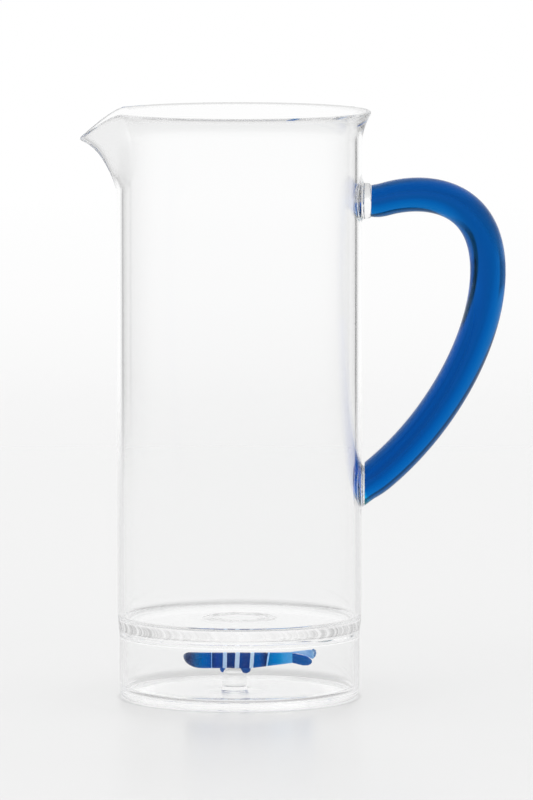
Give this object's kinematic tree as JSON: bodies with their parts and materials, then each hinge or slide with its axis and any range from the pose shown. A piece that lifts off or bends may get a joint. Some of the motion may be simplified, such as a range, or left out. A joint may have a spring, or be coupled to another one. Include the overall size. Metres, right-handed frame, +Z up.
{
  "type": "glass carafe",
  "caption": "Tall cylindrical glass carafe with a flared rim, pulled spout, bent rod handle and a small banded glass figure sealed in its foot.",
  "frame": {"origin": "centre of the underside, on the surface that the carafe stands on", "axes": "+Z up along the vessel's axis, +X towards the handle, the spout towards -X"},
  "size_m": [0.1825, 0.113, 0.2522],
  "materials": {
    "clear_glass": "fire-polished clear borosilicate glass",
    "handle_glass": "fire-polished cobalt blue transparent glass",
    "figure_blue": "fire-polished dense blue glass",
    "figure_navy": "fire-polished dark blue speckled glass",
    "figure_sky": "fire-polished light blue glass",
    "figure_pale": "fire-polished pale blue glass",
    "trail_white": "opal white glass trail, marvered nearly flush"
  },
  "bodies": {
    "root": {"spout_rim": "clear_glass", "vessel_wall": "clear_glass", "vessel_floor": "clear_glass", "weld_ring": "clear_glass", "base_skirt": "clear_glass", "base_disc": "clear_glass", "handle": "handle_glass", "upper_pad": "clear_glass", "upper_collar": "clear_glass", "lower_pad": "clear_glass", "figure_stem": "clear_glass", "figure_head": "figure_navy", "figure_body": "figure_blue", "white_trail_1": "trail_white", "white_trail_2": "trail_white", "white_trail_3": "trail_white", "white_trail_4": "trail_white", "white_trail_5": "trail_white", "tail_shank": "figure_sky", "tail_lower_lobe": "figure_blue", "tail_upper_lobe": "figure_pale", "tail_curl": "clear_glass", "small_bead": "figure_blue", "large_bead": "figure_blue"}
  },
  "joints": []
}
